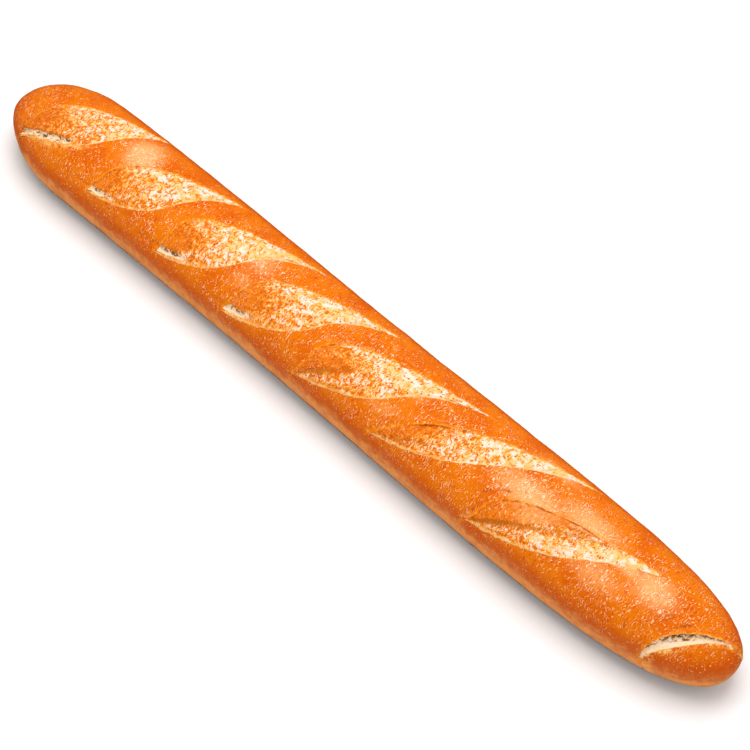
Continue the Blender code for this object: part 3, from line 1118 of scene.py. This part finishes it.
def crust_material(colours):
    """Crust, and crumb where the slashes are open, with a frayed edge between them."""
    material = bpy.data.materials.new("baked_crust")
    nodes = Nodes(material)
    place = nodes.position()
    lower_side = nodes.step(nodes.attribute("across"), 0.1, 0.5)
    frayed = nodes.plus(nodes.noise(place, 2.2 * MM), -0.5)
    reach = nodes.plus(3.2 * MM, nodes.times(lower_side, -2.4 * MM))
    edge = nodes.plus(nodes.attribute("inside"), nodes.times(frayed, reach))
    opened = nodes.step(edge, -0.15 * MM, 0.25 * MM)
    low_edge = nodes.times(lower_side, nodes.step(edge, 1.8 * MM, 0.3 * MM))
    near_rim = nodes.times(low_edge, nodes.step(nodes.attribute("along"), 0.3, 0.15))

    patterns = crust_patterns(nodes, place)
    crust = crust_colour(nodes, patterns, colours)
    crumb = crumb_patterns(nodes, place)
    cover = browned_cover(nodes, crumb, low_edge)
    bare = crumb_colour(nodes, place, crumb, cover, crust, colours)
    bare = open_pockets(nodes, bare, crumb, near_rim, colours)
    tone = nodes.mix(opened, gild_crust(nodes, crust, edge, patterns, colours), bare)
    tone = draw_edges(nodes, tone, place, edge, frayed, colours)
    nodes.put(tone, nodes.shader["Base Color"])

    dull = nodes.plus(nodes.times(opened, 0.3), nodes.times(patterns.mottle, 0.2))
    nodes.put(nodes.plus(dull, 0.25), nodes.shader["Roughness"])
    nodes.put(0.03, nodes.shader["Specular IOR Level"])
    blisters = nodes.times(nodes.noise(place, 1.3 * MM, roughness=0.6), 0.7)
    height = nodes.plus(blisters, nodes.times(crumb.grain, nodes.plus(opened, 0.2)))
    nodes.put(nodes.bump(height, 0.6 * MM, 0.9), nodes.shader["Normal"])
    return material


def floor_material(floor_colour):
    """A matt floor with faint darker clouds."""
    material = bpy.data.materials.new("pale_floor")
    nodes = Nodes(material)
    grain = nodes.noise(nodes.position(), 40 * MM, detail=2.0)
    darker = [0.985 * value for value in floor_colour]
    nodes.put(nodes.mix(grain, floor_colour, darker), nodes.shader["Base Color"])
    nodes.put(0.9, nodes.shader["Roughness"])
    return material


# The stage.


def towards(back):
    """Rotation of a camera or light that looks along -back."""
    return back.to_track_quat("Z", "Y").to_euler()


def make_stage(stage):
    """The floor, the camera, one large soft light and an even sky."""
    bpy.ops.object.select_all(action="DESELECT")
    bpy.ops.mesh.primitive_plane_add(size=stage.floor_size, location=(0, 0, 0))
    floor = bpy.context.object
    floor.name = "floor"
    floor.data.materials.append(floor_material(stage.floor_colour))
    floor.visible_glossy = False

    scene = bpy.context.scene
    level = math.cos(stage.elevation)
    sideways = (math.sin(stage.azimuth) * level, -math.cos(stage.azimuth) * level)
    back = Vector((*sideways, math.sin(stage.elevation)))
    bpy.ops.object.camera_add(location=Vector(stage.aim) + stage.distance * back, rotation=towards(back))
    camera = bpy.context.object
    camera.data.lens = stage.lens
    camera.data.sensor_width = SENSOR_WIDTH
    scene.camera = camera

    key = Vector(KEY_FROM)
    bpy.ops.object.light_add(type="AREA", location=KEY_DISTANCE * key, rotation=towards(key))
    light = bpy.context.object
    light.data.shape = "SQUARE"
    light.data.size = KEY_SIDE
    light.data.energy = stage.key_power

    world = bpy.data.worlds.new("soft_sky")
    scene.world = world
    world.use_nodes = True
    sky = world.node_tree.nodes["Background"].inputs
    sky["Color"].default_value = (1, 1, 1, 1)
    sky["Strength"].default_value = stage.sky
    world.cycles_visibility.glossy = False
    scene.view_settings.view_transform = "Standard"


class BAGUETTE_OT_bake_loaf(bpy.types.Operator):
    """Model the loaf with its slashes, and give it its crust"""

    bl_idname = "baguette.bake_loaf"
    bl_label = "Bake the loaf"

    def execute(self, context):
        make_loaf(context.scene.baguette_sizes, context.scene.baguette_colours)
        return {"FINISHED"}


class BAGUETTE_OT_set_stage(bpy.types.Operator):
    """Lay out the floor, the light and the camera"""

    bl_idname = "baguette.set_stage"
    bl_label = "Set the stage"

    def execute(self, context):
        make_stage(context.scene.baguette_stage)
        return {"FINISHED"}


OPERATORS = (BAGUETTE_OT_bake_loaf, BAGUETTE_OT_set_stage)


class BAGUETTE_PT_panel(bpy.types.Panel):
    """Lists the loaf's sizes and colours and the steps that make it"""

    bl_idname = "BAGUETTE_PT_panel"
    bl_label = "Baguette"
    bl_space_type = "VIEW_3D"
    bl_region_type = "UI"
    bl_category = "Baguette"

    def draw(self, context):
        for name in PROPERTIES:
            box = self.layout.box()
            settings = getattr(context.scene, name)
            for key in settings.__annotations__:
                box.prop(settings, key)
        for operator in OPERATORS:
            self.layout.operator(operator.bl_idname)


PROPERTIES = {"baguette_sizes": LoafSizes, "baguette_colours": CrustColours, "baguette_stage": StageSizes}
CLASSES = (*PROPERTIES.values(), *OPERATORS, BAGUETTE_PT_panel)


def register():
    for item in CLASSES:
        bpy.utils.register_class(item)
    for name, group in PROPERTIES.items():
        setattr(bpy.types.Scene, name, PointerProperty(type=group))


def unregister():
    for name in PROPERTIES:
        delattr(bpy.types.Scene, name)
    for item in reversed(CLASSES):
        bpy.utils.unregister_class(item)


def main():
    register()
    for operator in OPERATORS:
        getattr(bpy.ops.baguette, operator.bl_idname.split(".")[1])()


if __name__ == "__main__":
    main()
